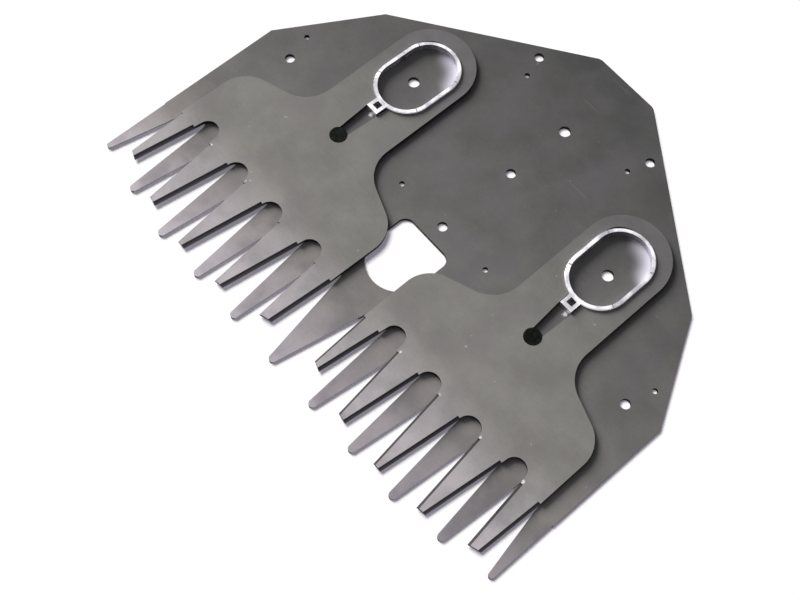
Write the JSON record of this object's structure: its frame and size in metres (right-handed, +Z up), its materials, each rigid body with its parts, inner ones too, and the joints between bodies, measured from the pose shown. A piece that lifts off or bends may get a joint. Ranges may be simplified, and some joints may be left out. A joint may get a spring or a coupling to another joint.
{
  "type": "grass shear cutter set",
  "caption": "Flat comb plate with long pointed teeth carrying two swinging toothed cutting blades, each with a slotted drive ring and a locking tab, on riveted pivots.",
  "frame": {"origin": "underside of the comb plate, at the middle of its width and depth", "axes": "+X along the row of teeth, to the right seen from above with the teeth in front; +Y backwards from the teeth; +Z up through the sheets, with the blades on top"},
  "size_m": [0.3006, 0.2486, 0.0066],
  "materials": {
    "plate_steel": "satin",
    "blade_steel": "matte ground steel",
    "ring_metal": "bright satin",
    "pin_steel": "blackened"
  },
  "bodies": {
    "base": {"base_plate": "plate_steel", "left_pivot_pin": "pin_steel", "right_pivot_pin": "pin_steel"},
    "blade_left": {"left_blade": "blade_steel", "left_ring": "ring_metal"},
    "blade_right": {"right_blade": "blade_steel", "right_ring": "ring_metal"}
  },
  "joints": [
    {"name": "left_swing", "type": "hinge", "parent": "base", "child": "blade_left", "pos_m": [-0.075, -0.01765, 0.00375], "axis": [0, 0, 1], "range_deg": [-6.9, 9.1]},
    {"name": "right_swing", "type": "hinge", "parent": "base", "child": "blade_right", "pos_m": [0.075, -0.01765, 0.00375], "axis": [0, 0, 1], "range_deg": [-8.7, 7.3]}
  ]
}
